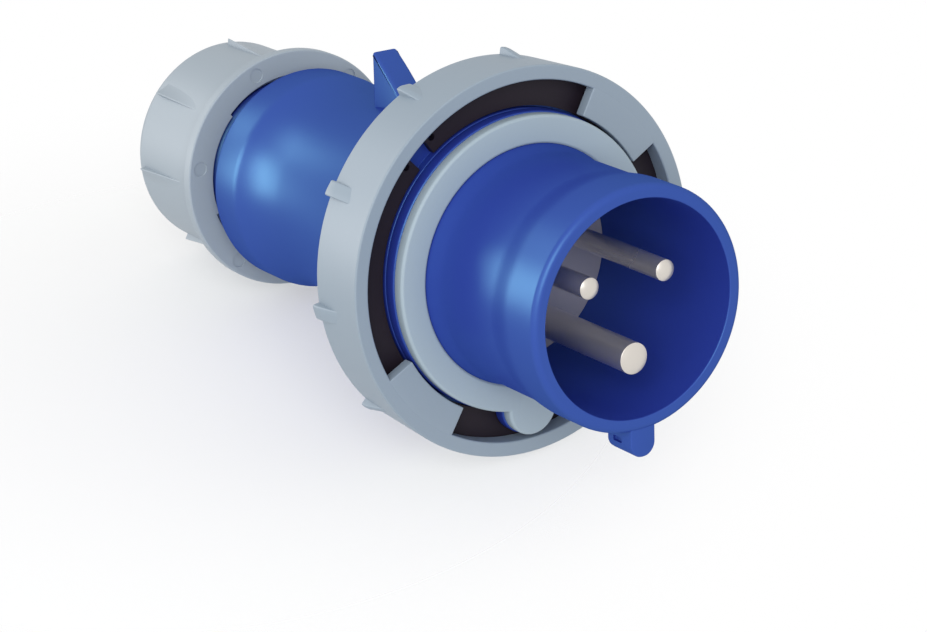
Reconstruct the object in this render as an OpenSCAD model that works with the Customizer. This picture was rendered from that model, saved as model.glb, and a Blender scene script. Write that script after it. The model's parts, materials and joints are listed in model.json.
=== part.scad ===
// Industrial pin and sleeve plug with three pins, a bayonet locking ring and a screwed cable gland.
// Every piece is modelled on the plug's own axis: z runs out of the mouth and is 0 at the gasket's seat,
// x points to the top of the plug (the side of the fin) and angles turn about z from there.
// placed() then lays the whole plug on its ring and gland nut, as it rests on a table.

/* [Sleeve] */
// Outer radius of the sleeve's plain stretch
sleeve_r = 28.2; // [27:0.1:30]
// Wall of the sleeve at its root
sleeve_wall = 3.2; // [2.6:0.1:3.6]
// How much the sleeve's bore widens from root to mouth
bore_draft = 0.8; // [0:0.1:1.2]
// Length of the sleeve in front of the gasket's seat
sleeve_length = 45.7; // [40:0.1:52]
// Height of the raised band at the mouth
band_height = 0.9; // [0.3:0.1:1.5]
// Length of the raised band
band_length = 13; // [6:0.5:20]
// Length of the slope behind the raised band
band_slope = 2; // [1:0.5:4]
// Radius of the rounded lip
lip_round = 1.9; // [0.3:0.1:2.4]
// Height of the flare at the sleeve's root
flare_height = 1; // [0.3:0.1:1.5]
// Length of the flare in front of the gasket
flare_length = 5; // [3:0.5:10]

/* [Key] */
// Height of the key ridge above the sleeve
key_height = 2; // [1:0.1:2.6]
// Width of the key ridge
key_width = 7; // [5:0.5:9]
// Height of the lug at the mouth above the sleeve
lug_height = 7.4; // [5:0.1:8]
// Width of the lug
lug_width = 6.8; // [6.6:0.2:10]
// Length of the lug along the sleeve
lug_length = 9.2; // [8:0.2:12]
// Distance of the lug's middle from the key's middle
lug_shift = 0.8; // [0:0.1:1.5]
// Distance of the lug's front face behind the lip
lug_setback = 0.4; // [0:0.1:1]
// Radius of the lug's two outer corners
lug_round = 3.3; // [1:0.1:3.3]
// Radius of the lug's outer edge at its back
lug_back_round = 2.3; // [0.5:0.1:3]
// Distance of the small pocket in the lug's side behind its front
lug_pocket_setback = 3.7; // [2:0.1:4.5]

/* [Front flange] */
// Reach of the two round flanges past the spigot's seat in the housing
flange_rim = 4.5; // [4:0.1:5.5]
// Thickness of the shroud's flange
flange_thickness = 3.4; // [3:0.1:4.5]
// Clearance between the lobe and the locking ring's wall
lobe_play = 1.1; // [0.8:0.1:2]
// Radius of the lobe below the key
lobe_r = 7; // [5:0.1:8]
// Thickness of the flat gasket
gasket_thickness = 3; // [2:0.1:4]
// Distance of the gasket's edge inside the flange's edge
gasket_inset = 0.3; // [0:0.1:1]
// Bevel of the gasket's outer edge
gasket_bevel = 0.5; // [0.3:0.1:1.9]

/* [Spigot behind the flange] */
// Wall of the shroud's spigot
spigot_wall = 5; // [4:0.1:6]
// Depth of the spigot's end behind the gasket's seat
spigot_depth = 20.8; // [18:0.1:24]
// Radius of the seal ring's section round the spigot
housing_seal_section = 0.9; // [0.7:0.05:1.1]
// Distance of that seal behind the gasket's seat
housing_seal_depth = 15; // [12:0.5:16]

/* [Contact carrier] */
// Depth of the carrier's face behind the gasket's seat
carrier_face_depth = 2.6; // [1:0.1:3]
// How far the carrier's body is wider than the sleeve's bore
carrier_step = 1.2; // [0.8:0.1:1.4]
// Depth of the joint between the carrier's two halves
carrier_split_depth = 14; // [12.5:0.1:15]
// Length of the back half's narrow end behind the spigot
carrier_tail = 3.2; // [2.6:0.1:5]
// Radius of the seal ring's section round the carrier
carrier_seal_section = 0.8; // [0.6:0.05:0.9]
// Distance of that seal behind the carrier's face
carrier_seal_offset = 3.5; // [2.5:0.1:4]
// Distance of the carrier's screws inside the edge of its narrow end
carrier_screw_inset = 5.7; // [4.5:0.1:6.5]
// Radius of the carrier screws' shanks
carrier_screw_r = 1.5; // [1.2:0.1:2]
// Wall between the carrier screws' tips and the carrier's face
carrier_screw_cover = 4.4; // [3:0.1:7]

/* [Pins] */
// Radius of the circle that the pins stand on
pin_circle_r = 12.2; // [12:0.1:13]
// Radius of the earth pin
earth_pin_r = 3.75; // [3.3:0.05:4]
// Radius of the live and neutral pins
phase_pin_r = 2.55; // [2.3:0.05:3]
// Reach of the earth pin in front of the gasket's seat
earth_pin_reach = 44; // [40:0.5:45]
// Reach of the live and neutral pins in front of the gasket's seat
phase_pin_reach = 42; // [38:0.5:44]
// Height of the low dome on the pins' ends
pin_dome_height = 0.8; // [0.3:0.1:1.5]
// Radius of the barrel that holds the wire, on the earth pin
earth_barrel_r = 5.2; // [5:0.1:5.6]
// Radius of the barrel that holds the wire, on the live and neutral pins
phase_barrel_r = 4.8; // [4.6:0.1:5.2]
// Length of the barrels behind the carrier
barrel_length = 14; // [13.5:0.5:18]
// Radius of the hole for the wire
wire_hole_r = 3; // [2.6:0.1:3.2]
// Depth of the hole for the wire
wire_hole_depth = 13; // [12:0.5:15]
// Radius of the terminal screws' shanks
terminal_screw_r = 1.7; // [1.4:0.1:1.9]
// Spacing of the two terminal screws on one barrel
terminal_screw_pitch = 6; // [5.6:0.1:7]

/* [Locking ring] */
// Wall of the ring at its front
ring_wall = 3.6; // [3.2:0.1:5]
// How much the ring narrows from front to back
ring_taper = 0.9; // [0.2:0.1:1.2]
// Clearance between the ring's wall and the housing's flange
ring_play = 0.7; // [0.3:0.1:0.9]
// Reach of the ring in front of the gasket's seat
ring_reach = 1.3; // [0.5:0.1:2.5]
// Depth of the ring's back edge behind the gasket's seat
ring_depth = 17; // [15:0.5:20]
// Chamfer of the ring's front edge
ring_chamfer = 0.4; // [0.3:0.1:1.2]
// Clearance between the bayonet tabs and the shroud's flange
tab_play = 0.7; // [0.4:0.1:3]
// Thickness of the bayonet tabs
tab_thickness = 3; // [2:0.1:4]
// Angle that one bayonet tab spans
tab_span = 31.5; // [20:0.5:40]
// Number of ribs round the ring
ring_rib_count = 10; // [8:1:12]
// Width of one rib
ring_rib_width = 3.8; // [2.5:0.1:5]
// Height of one rib at the ring's back edge
ring_rib_height = 1.7; // [1:0.1:2.5]
// Length of one rib
ring_rib_length = 9.5; // [6:0.5:14]
// Drop of a rib's top toward its front end
ring_rib_fall = 0.8; // [0.2:0.1:1.2]
// Thickness of the split retaining ring
retainer_thickness = 1.9; // [1.5:0.1:2]
// How deep the retaining ring stands in its groove
retainer_bite = 0.7; // [0.5:0.1:1]
// Opening of the split in the retaining ring
retainer_split = 8; // [6:0.5:14]

/* [Rear housing] */
// Reach of the housing's flange past the shroud's flange
rear_flange_rim = 6.9; // [6.5:0.1:8]
// Thickness of the housing's flange
rear_flange_thickness = 3.6; // [3:0.1:4.5]
// How much the housing is wider behind its flange than the shroud's flange
shoulder_rise = 1.1; // [0.3:0.1:2]
// Radius of the housing at its waist
waist_r = 25.45; // [25:0.05:26.5]
// Length from the housing's wide cavity to the waist
waist_length = 27; // [24:0.5:36]
// Height of the rim in front of the gland nut, above the waist
rim_height = 2.35; // [2:0.05:3]
// Length from the waist to the rim
rise_length = 14.5; // [12:0.5:18]
// Length of the rim
rim_length = 11.8; // [9:0.1:13]
// Wall of the rear housing
housing_wall = 3.6; // [3:0.1:4]
// Width of the fin
fin_width = 7; // [5:0.5:9]
// Clearance with which the locking ring passes over the fin
fin_play = 0.6; // [0.4:0.1:3]
// Depth of the fin's back face
fin_back_depth = 58.3; // [54:0.1:60]
// Slope of the fin's curved ramp at its top
fin_ramp_angle = 33; // [28:1:40]
// Radius of the ramp's curve
fin_ramp_r = 80; // [60:5:120]
// Radius of the housing screws' shanks
housing_screw_r = 1.5; // [1.2:0.1:1.6]
// Length of the housing screws under the head's top
housing_screw_length = 16; // [12:0.5:17]

/* [Gland] */
// How much the threaded neck is narrower than the waist
neck_drop = 2.15; // [1.8:0.05:3]
// Wall of the neck
neck_wall = 4.7; // [4:0.1:5.5]
// Length of the neck behind the rim
neck_length = 28.7; // [26:0.1:34]
// Radius of the hole for the cable in the rubber bush
cable_r = 8.5; // [7:0.1:9]
// Length of the rubber bush
bush_length = 14; // [12:0.5:16]
// Clearance between the neck and the nut's thread
thread_play = 0.3; // [0.2:0.05:0.5]
// Height of the nut's flange above its body
nut_flange_height = 4; // [3:0.1:5]
// Thickness of the nut's flange
nut_flange_thickness = 3; // [2:0.1:4]
// Wall of the nut
nut_wall = 3.7; // [3.2:0.1:5]
// Gap between the housing's rim and the nut
nut_gap = 6.3; // [4:0.1:8]
// Wall of the nut's back end
nut_end_wall = 2.9; // [2:0.1:5]
// Radius of the nut's rounded back edge
nut_round = 2.2; // [1:0.1:3]
// How much the nut's hole for the cable is wider than the cage's
nut_entry_play = 2.1; // [1:0.1:2.6]
// Number of ribs round the nut
nut_rib_count = 7; // [6:1:9]
// Width of one rib
nut_rib_width = 5; // [3:0.1:6]
// Height of one rib at its steep side and back end
nut_rib_height = 1.7; // [1:0.1:2.2]
// Length over which a rib fades out
nut_rib_length = 20; // [14:1:24]
// Radius of the round moulding marks on the nut's flange
nut_mark_r = 1.9; // [1:0.1:2.4]
// Number of fingers on the clamping cage
finger_count = 10; // [8:1:14]
// Width of the slots between the fingers
finger_slot = 2; // [1:0.1:2.5]
// Length of the fingers
finger_length = 7; // [5:0.1:7.5]
// Thickness of the slip washer under the nut
washer_thickness = 1.2; // [0.8:0.1:1.4]

/* [Hidden] */
$fn = 96;

// Fits
overlap = 0.5; // how deep joined shapes run into each other
part_gap = 0.1; // between faces of pieces that are fixed to each other
slide_gap = 0.2; // between faces that turn or slide past each other
seat_gap = 0.3; // radial clearance of seated round pieces
hole_gap = 0.05; // radial clearance of screws and pins in their holes

// Angles round the axis, from the top of the plug, turning left as seen from the front
key_angle = 180;
phase_pin_angle = 60;
tab_angles = [-43.5, 133.75];
ring_rib_start = -10;
split_angle = 40;
housing_screw_angles = [0, 120, 240];
carrier_screw_angles = [0, 120, 240];
nut_rib_start = -4.5;
nut_mark_start = 20.5;
nut_mark_count = 6;
nut_lip_start = 77.5;
nut_lip_span = 63;
nut_lip_count = 3;

// Sleeve, bore and flanges, each outward from the one inside it
bore_r = sleeve_r - sleeve_wall;
carrier_r = bore_r + carrier_step;
seat_r = carrier_r + seat_gap;
spigot_r = seat_r + spigot_wall;
housing_bore_r = spigot_r + seat_gap;
flange_r = housing_bore_r + flange_rim;
rear_flange_r = flange_r + rear_flange_rim;
ring_wall_r = rear_flange_r + ring_play;
lobe_centre_r = ring_wall_r - lobe_play - lobe_r;
mouth_bore_r = bore_r + bore_draft;
band_r = sleeve_r + band_height;
root_r = sleeve_r + flare_height;
lug_r = sleeve_r + lug_height;
key_r = sleeve_r + key_height;
bore_edge = 0.4;
flange_edge = 0.4;
lug_front = sleeve_length - lug_setback;
lug_pocket_length = lug_length - lug_back_round - lug_pocket_setback;
lug_pocket_height = 1.3;
lug_pocket_depth = 0.8;
lug_pocket_rise = 2.2;
lug_pocket_r = band_r + lug_pocket_rise;
gasket_r = flange_r - gasket_inset;

// Carrier
collar_step = 1;
collar_length = 2.4;
carrier_back_inset = 2;
carrier_back_r = carrier_r - carrier_back_inset;
carrier_back_depth = spigot_depth + carrier_tail;
carrier_screw_circle_r = carrier_back_r - carrier_screw_inset;
carrier_screw_length = carrier_back_depth - carrier_face_depth - carrier_screw_cover;
screw_head_step = 1.2;
screw_head_height = 2;
slot_width = 0.8;
slot_depth = 0.9;

// Pins
barrel_depth = carrier_back_depth + barrel_length;
shank_step = 0.25; // how much thicker the pins are inside the carrier
pin_chamfer = 0.6;
terminal_screw_depth = barrel_depth - wire_hole_depth / 2;
terminal_head_height = 2;
plate_thickness = 0.8;
plate_length = 10.5;
plate_width = 3.6;
plate_stand = 1.4;

// Locking ring, retaining ring and the housing's flange, from front to back
retainer_front = flange_thickness + slide_gap;
retainer_back = retainer_front + retainer_thickness;
rear_flange_front = retainer_back + slide_gap;
rear_flange_back = rear_flange_front + rear_flange_thickness;
groove_r = ring_wall_r + retainer_bite + seat_gap;
web_front = rear_flange_back + 2 * slide_gap;
web_thickness = 2.6;
web_reach = 2.5;
web_r = ring_wall_r - web_reach;
ring_front_r = ring_wall_r + ring_wall;
ring_back_r = ring_front_r - ring_taper;
ring_back_wall = 2.4;
tab_r = flange_r + tab_play;
retainer_r = flange_r + 2 * seat_gap;
retainer_hole_r = 0.9;
retainer_hole_offset = 2.6;
ring_tip_r = ring_back_r + ring_rib_height;
ring_rib_flat = 2;
rib_root = 1;

// Rear housing
boss_r = flange_r;
shoulder_r = flange_r + shoulder_rise;
housing_ledge_depth = spigot_depth + part_gap;
housing_ledge_height = 3;
housing_ledge_reach = 0.6;
housing_ledge_r = carrier_r - housing_ledge_reach;
housing_screw_circle_r = (housing_bore_r + flange_r) / 2;
cavity_room = 7;
cavity_depth = barrel_depth + cavity_room;
waist_depth = cavity_depth + waist_length;
flare_power = 1.5;
shoulder_length = 3;
flare_start = rear_flange_back + shoulder_length;
rim_depth = waist_depth + rise_length;
rim_r = waist_r + rim_height;
rim_round = 1.4;
rim_shoulder = 8; // radius of the soft shoulder at the rim's front
rim_slope_angle = 18; // slope at which the rise meets that shoulder
rise_height = rim_height - rim_shoulder * (1 - cos(rim_slope_angle));
rise_power = tan(rim_slope_angle) * rise_length / rise_height;
rim_back = rim_depth + rim_length;
neck_r = waist_r - neck_drop;
neck_bore_r = neck_r - neck_wall;
neck_depth = rim_back + neck_length;
neck_relief = 1;
neck_core_r = neck_r - neck_relief;
neck_relief_length = 2;
pilot_room = 0.5;
pilot_depth = housing_screw_length + pilot_room;
fin_top_r = web_r - fin_play;
fin_curve_depth = fin_back_depth + fin_ramp_r * sin(fin_ramp_angle);
fin_curve_r = fin_top_r - fin_ramp_r * cos(fin_ramp_angle);
fin_end_angle = acos((waist_r - fin_curve_r) / fin_ramp_r);

// Gland
bush_recess = 1;
neck_ledge_depth = neck_depth - bush_length - bush_recess;
neck_ledge_reach = 4.5;
neck_ledge_r = cable_r + neck_ledge_reach;
neck_ledge_height = 4;
bush_back = neck_depth - bush_recess + part_gap;
bush_front = bush_back - bush_length + 2 * part_gap;
bush_r = neck_bore_r - seat_gap;
cage_front = neck_depth + part_gap;
cage_flange_thickness = 2;
cage_back = cage_front + cage_flange_thickness;
cage_r = neck_r - seat_gap;
cage_play = 1;
cage_core_r = cable_r + cage_play;
cage_wall = 5;
cage_tube_r = cage_core_r + cage_wall;
finger_tip_wall = 2.2;
finger_tip_r = cage_core_r + finger_tip_wall;
finger_end = cage_back + finger_length;
washer_front = cage_back + part_gap;
washer_back = washer_front + washer_thickness;
washer_hole_r = cage_tube_r + 3 * seat_gap;
nut_front = rim_back + nut_gap;
nut_bore_r = neck_r + thread_play;
nut_r = nut_bore_r + nut_wall;
nut_flange_r = nut_r + nut_flange_height;
nut_entry_r = cage_core_r + nut_entry_play;
nut_shoulder = washer_back + part_gap;
nut_cone_gap = 1;
nut_lip_inset = 0.6;
nut_lip_r = nut_bore_r + nut_lip_inset;
nut_lip_height = 0.8;
nut_mouth_r = nut_lip_r + nut_lip_height;
nut_lip_depth = 1.8;
finger_room = 1;
nut_entry_depth = finger_end + finger_room;
nut_depth = nut_entry_depth + nut_end_wall;
nut_tip_r = nut_r + nut_rib_height;
nut_rib_setback = 4;
nut_rib_back = nut_depth - nut_rib_setback;
nut_rib_sink = 0.4;
nut_fillet = 2;
nut_mark_depth = 0.25;
nut_mark_circle_r = (nut_mouth_r + nut_flange_r) / 2;

// Rest on the table: the plug leans on the ring's back edge, one of its ribs and a rib of the nut
ring_rib_reach = norm([ring_tip_r, ring_rib_width / 2]);
ring_rib_half = atan2(ring_rib_width / 2, ring_tip_r);
ring_rib_pitch = 360 / ring_rib_count;
rib_contact = min(ring_rib_pitch / 2, acos(min(1, ring_back_r / ring_rib_reach)) + ring_rib_half);
resting_rib = ring_rib_start + ring_rib_pitch * floor((190 + ring_rib_start) / ring_rib_pitch);
rest_angle = resting_rib + rib_contact;
front_drop = max(ring_back_r, ring_rib_reach * cos(rib_contact - ring_rib_half));
nut_rib_angles = [for (i = [0 : nut_rib_count - 1]) nut_rib_start + i * 360 / nut_rib_count];
nut_drop = max([for (a = nut_rib_angles)
    nut_tip_r * cos(a - rest_angle) - nut_rib_width / 2 * sin(a - rest_angle)]);
nut_edge_drop = front_drop - nut_r + nut_round;
nut_edge_length = nut_depth - nut_round - ring_depth;
rest_tilt = min(atan((front_drop - nut_drop) / (nut_rib_back - ring_depth)),
    atan2(nut_edge_drop, nut_edge_length) - asin(nut_round / norm([nut_edge_drop, nut_edge_length])));
rest_roll = rest_angle - 180;
rest_height = ring_depth * sin(rest_tilt) + front_drop * cos(rest_tilt);
lug_drop = (lug_r - lug_round) * cos(rest_roll) + lug_shift * sin(rest_roll)
    + (lug_width / 2 - lug_round) * abs(sin(rest_roll)) + lug_round;
front_reach = lug_front * cos(rest_tilt) + lug_drop * sin(rest_tilt);
back_reach = (nut_depth - nut_round) * cos(rest_tilt) + (nut_r - nut_round) * sin(rest_tilt) + nut_round;
rest_shift = (back_reach - front_reach) / 2;

// Lays a piece from the plug's own axis on the table
module placed() {
    translate([rest_shift, 0, rest_height])
        rotate([0, 90 - rest_tilt, 0])
            rotate([0, 0, 180 - rest_roll])
                children();
}

// Points of a circular arc
function arc(centre, radius, from, to, steps = 6) =
    [for (i = [0 : steps]) centre + radius * [cos(from + (to - from) * i / steps),
                                              sin(from + (to - from) * i / steps)]];

// Turns children to an angle round the axis and out to a radius
module at_angle(angle, radius = 0) {
    rotate([0, 0, angle]) translate([radius, 0, 0]) children();
}

// Square groove for a seal ring that touches a bore of radius r
module seal_groove(r, section, depth) {
    rotate_extrude()
        translate([r - 2 * (section + hole_gap), -depth - section - seat_gap])
            square([3 * section, 2 * (section + seat_gap)]);
}

// Seal ring that touches a bore of radius r
module seal_ring(r, section, depth) {
    translate([0, 0, -depth])
        rotate_extrude() translate([r - hole_gap - section, 0]) circle(r = section);
}

// Cylinder between two depths behind the gasket's seat
module barrel(r, front, back) {
    translate([0, 0, -back]) cylinder(r = r, h = back - front);
}

// Rib that stands out of a round body: a side outline of [depth, radius] points, widened across
module radial_plate(outline, width) {
    rotate([90, 0, 0])
        translate([0, 0, -width / 2])
            linear_extrude(width) polygon([for (p = outline) [p[1], -p[0]]]);
}

// Screw along z with its head's underside at z = 0 and its slot on top
module pan_screw(r, length, head_height) {
    difference() {
        union() {
            translate([0, 0, -length]) cylinder(r = r, h = length + overlap);
            cylinder(r = r + screw_head_step, h = head_height);
        }
        translate([-r - 2 * screw_head_step, -slot_width / 2, head_height - slot_depth])
            cube([2 * (r + 2 * screw_head_step), slot_width, slot_depth + overlap]);
    }
}

// Outline of the flange and of the gasket, with the round lobe under the key
module lobed_plate(r, lobe, thickness, bevel) {
    cylinder(r = r, h = thickness - bevel);
    translate([0, 0, thickness - bevel]) cylinder(r1 = r, r2 = r - bevel, h = bevel);
    at_angle(key_angle, lobe_centre_r) {
        cylinder(r = lobe, h = thickness - bevel);
        translate([0, 0, thickness - bevel]) cylinder(r1 = lobe, r2 = lobe - bevel, h = bevel);
    }
}

// Key ridge along the sleeve, also used to notch the gasket
module key_ridge(clearance, length) {
    at_angle(key_angle)
        translate([bore_r + sleeve_wall / 2, -key_width / 2 - clearance, 0])
            cube([key_r + clearance - bore_r - sleeve_wall / 2, key_width + 2 * clearance, length]);
}

// Rounded lug with a small pocket in its side, just outside the sleeve
module lug() {
    lug_back = lug_front - lug_length;
    at_angle(key_angle)
        translate([0, lug_shift, 0])
            difference() {
                intersection() {
                    translate([0, 0, lug_back])
                        linear_extrude(lug_length)
                            polygon(concat(
                                [[bore_r + sleeve_wall / 2, lug_width / 2]],
                                [[bore_r + sleeve_wall / 2, -lug_width / 2]],
                                arc([lug_r - lug_round, -lug_width / 2 + lug_round], lug_round, -90, 0),
                                arc([lug_r - lug_round, lug_width / 2 - lug_round], lug_round, 0, 90)));
                    radial_plate(concat([[-lug_back, bore_r], [-lug_front, bore_r], [-lug_front, lug_r]],
                        arc([-lug_back - lug_back_round, lug_r - lug_back_round], lug_back_round, 90, 0)),
                        lug_width + overlap);
                }
                translate([lug_pocket_r, -lug_width / 2 - overlap,
                        lug_front - lug_pocket_setback - lug_pocket_length])
                    cube([lug_pocket_height, lug_pocket_depth + overlap, lug_pocket_length]);
            }
}

module shroud() {
    color([0.16, 0.33, 0.66])
    placed()
    difference() {
        union() {
            rotate_extrude()
                polygon(concat(
                    [[seat_r, -spigot_depth], [seat_r, -carrier_face_depth], [bore_r, -carrier_face_depth],
                        [mouth_bore_r, sleeve_length - bore_edge],
                        [mouth_bore_r + bore_edge, sleeve_length]],
                    arc([band_r - lip_round, sleeve_length - lip_round], lip_round, 90, 0),
                    [[band_r, sleeve_length - band_length],
                        [sleeve_r, sleeve_length - band_length - band_slope],
                        [sleeve_r, gasket_thickness + flare_length], [root_r, gasket_thickness],
                        [root_r, -flange_thickness / 2], [spigot_r, -flange_thickness / 2],
                        [spigot_r, -spigot_depth]]));
            difference() {
                translate([0, 0, -flange_thickness])
                    lobed_plate(flange_r, lobe_r, flange_thickness, flange_edge);
                barrel(seat_r + overlap, -overlap, flange_thickness + overlap);
            }
            key_ridge(0, lug_front - lug_length / 2);
            lug();
        }
        seal_groove(housing_bore_r, housing_seal_section, housing_seal_depth);
        for (a = housing_screw_angles)
            at_angle(a, housing_screw_circle_r) {
                barrel(housing_screw_r + seat_gap, -overlap, flange_thickness + overlap);
                barrel(housing_screw_r + screw_head_step + part_gap, -overlap, screw_head_height + part_gap);
            }
    }
}

module flange_gasket() {
    color([0.66, 0.73, 0.78])
    placed()
    difference() {
        lobed_plate(gasket_r, lobe_r - gasket_inset, gasket_thickness, gasket_bevel);
        barrel(root_r + hole_gap, -gasket_thickness - overlap, overlap);
        translate([0, 0, -overlap]) key_ridge(hole_gap, gasket_thickness + 2 * overlap);
    }
}

module carrier_front() {
    color([0.5, 0.51, 0.55])
    placed()
    difference() {
        union() {
            barrel(bore_r - hole_gap, carrier_face_depth, carrier_face_depth + overlap);
            barrel(carrier_r, carrier_face_depth + part_gap, carrier_split_depth);
        }
        seal_groove(seat_r, carrier_seal_section, carrier_face_depth + carrier_seal_offset);
        pin_places() {
            pin_hole(earth_pin_r, earth_barrel_r);
            pin_hole(phase_pin_r, phase_barrel_r);
        }
        for (a = carrier_screw_angles)
            at_angle(a, carrier_screw_circle_r)
                barrel(carrier_screw_r + hole_gap, carrier_back_depth - carrier_screw_length - overlap,
                    carrier_split_depth + overlap);
    }
}

// The first child stands at the earth pin's place and the second at the two others
module pin_places() {
    at_angle(key_angle, pin_circle_r) children(0);
    for (side = [-1, 1]) at_angle(side * phase_pin_angle, pin_circle_r) children(1);
}

module pin_hole(pin_r, barrel_r) {
    barrel(pin_r + shank_step + hole_gap, 0, carrier_split_depth + overlap);
    barrel(barrel_r + collar_step + hole_gap, carrier_split_depth - collar_length - part_gap,
        carrier_split_depth + overlap);
}

module carrier_back() {
    color([0.5, 0.51, 0.55])
    placed()
    difference() {
        union() {
            barrel(carrier_r, carrier_split_depth + part_gap, spigot_depth);
            barrel(carrier_back_r, spigot_depth - overlap, carrier_back_depth);
        }
        pin_places() {
            barrel(earth_barrel_r + hole_gap, carrier_split_depth, carrier_back_depth + overlap);
            barrel(phase_barrel_r + hole_gap, carrier_split_depth, carrier_back_depth + overlap);
        }
        for (a = carrier_screw_angles)
            at_angle(a, carrier_screw_circle_r)
                barrel(carrier_screw_r + hole_gap, carrier_split_depth, carrier_back_depth + overlap);
    }
}

module carrier_seal() {
    color([0.12, 0.12, 0.13])
    placed()
    seal_ring(seat_r, carrier_seal_section, carrier_face_depth + carrier_seal_offset);
}

module carrier_screws() {
    color([0.75, 0.75, 0.74])
    placed()
    for (a = carrier_screw_angles)
        at_angle(a, carrier_screw_circle_r)
            translate([0, 0, -carrier_back_depth - hole_gap])
                rotate([180, 0, 0])
                    pan_screw(carrier_screw_r, carrier_screw_length, screw_head_height);
}

// Turned contact pin with its collar and its wire barrel
module contact_pin(pin_r, barrel_r, reach) {
    dome_r = (pin_r * pin_r + pin_dome_height * pin_dome_height) / (2 * pin_dome_height);
    difference() {
        rotate_extrude()
            polygon(concat(
                [[0, -barrel_depth], [barrel_r - pin_chamfer, -barrel_depth],
                    [barrel_r, -barrel_depth + pin_chamfer], [barrel_r, -carrier_split_depth],
                    [barrel_r + collar_step, -carrier_split_depth],
                    [barrel_r + collar_step, collar_length - carrier_split_depth],
                    [pin_r + shank_step, collar_length - carrier_split_depth],
                    [pin_r + shank_step, -carrier_face_depth], [pin_r, -carrier_face_depth]],
                arc([0, reach - dome_r], dome_r, acos(pin_r / dome_r), 90)));
        barrel(wire_hole_r, barrel_depth - wire_hole_depth, barrel_depth + overlap);
        for (side = [-1, 1])
            translate([0, 0, -terminal_screw_depth + side * terminal_screw_pitch / 2])
                rotate([0, 90, 0]) cylinder(r = terminal_screw_r + hole_gap, h = barrel_r + overlap);
    }
}

module earth_pin() {
    color([0.78, 0.77, 0.74])
    placed()
    at_angle(key_angle, pin_circle_r) contact_pin(earth_pin_r, earth_barrel_r, earth_pin_reach);
}

module live_pin() {
    color([0.78, 0.77, 0.74])
    placed()
    at_angle(phase_pin_angle, pin_circle_r) contact_pin(phase_pin_r, phase_barrel_r, phase_pin_reach);
}

module neutral_pin() {
    color([0.78, 0.77, 0.74])
    placed()
    at_angle(-phase_pin_angle, pin_circle_r) contact_pin(phase_pin_r, phase_barrel_r, phase_pin_reach);
}

// The two screws of one barrel stand outward, away from the axis, on the wire's clamp plate
module barrel_screws(barrel_r) {
    plate_top = plate_stand + plate_thickness;
    for (side = [-1, 1])
        translate([barrel_r + part_gap, 0, -terminal_screw_depth + side * terminal_screw_pitch / 2])
            rotate([0, 90, 0])
                pan_screw(terminal_screw_r, barrel_r - plate_top, terminal_head_height);
}

module terminal_screws() {
    color([0.75, 0.75, 0.74])
    placed()
    pin_places() {
        barrel_screws(earth_barrel_r);
        barrel_screws(phase_barrel_r);
    }
}

module wire_clamp_plates() {
    color([0.7, 0.7, 0.7])
    placed()
    pin_places() {
        clamp_plate();
        clamp_plate();
    }
}

module clamp_plate() {
    translate([plate_stand, -plate_width / 2, -terminal_screw_depth - plate_length / 2])
        cube([plate_thickness, plate_width, plate_length]);
}

module ring_rib() {
    radial_plate([[ring_depth, ring_wall_r + rib_root], [ring_depth, ring_tip_r],
        [ring_depth - ring_rib_flat, ring_tip_r],
        [ring_depth - ring_rib_length, ring_tip_r - ring_rib_fall],
        [ring_depth - ring_rib_length, ring_wall_r + rib_root]], ring_rib_width);
}

module bayonet_ring() {
    color([0.64, 0.71, 0.77])
    placed()
    union() {
        rotate_extrude()
            polygon([[ring_wall_r + bore_edge, ring_reach], [ring_front_r - ring_chamfer, ring_reach],
                [ring_front_r, ring_reach - ring_chamfer], [ring_back_r, -ring_depth],
                [ring_back_r - ring_back_wall, -ring_depth],
                [ring_back_r - ring_back_wall, -web_front - web_thickness],
                [web_r, -web_front - web_thickness], [web_r, -web_front], [ring_wall_r, -web_front],
                [ring_wall_r, -retainer_back - part_gap], [groove_r, -retainer_back - part_gap],
                [groove_r, -retainer_front + part_gap], [ring_wall_r, -retainer_front + part_gap],
                [ring_wall_r, ring_reach - bore_edge]]);
        for (a = tab_angles)
            rotate([0, 0, a - tab_span / 2])
                rotate_extrude(angle = tab_span)
                    translate([tab_r, ring_reach - tab_thickness])
                        square([ring_wall_r + overlap - tab_r, tab_thickness]);
        for (i = [0 : ring_rib_count - 1])
            at_angle(ring_rib_start + i * ring_rib_pitch) ring_rib();
    }
}

module ring_retainer() {
    color([0.13, 0.11, 0.15])
    placed()
    difference() {
        rotate([0, 0, split_angle + retainer_split / 2])
            rotate_extrude(angle = 360 - retainer_split)
                translate([retainer_r, -retainer_back])
                    square([groove_r - seat_gap - retainer_r, retainer_thickness]);
        for (side = [-1, 1])
            at_angle(split_angle + side * (retainer_split / 2 + retainer_hole_offset),
                (retainer_r + ring_wall_r) / 2)
                barrel(retainer_hole_r, 0, retainer_back + overlap);
    }
}

// Radius of the housing's flared body at a depth between its flange and its waist
function flare_radius(depth) =
    waist_r + (shoulder_r - waist_r) * pow(1 - (depth - flare_start) / (waist_depth - flare_start),
                                           flare_power);
// Radius from the waist up to the rim's shoulder
function rise_radius(t) = waist_r + rise_height * pow(t, rise_power);

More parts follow.
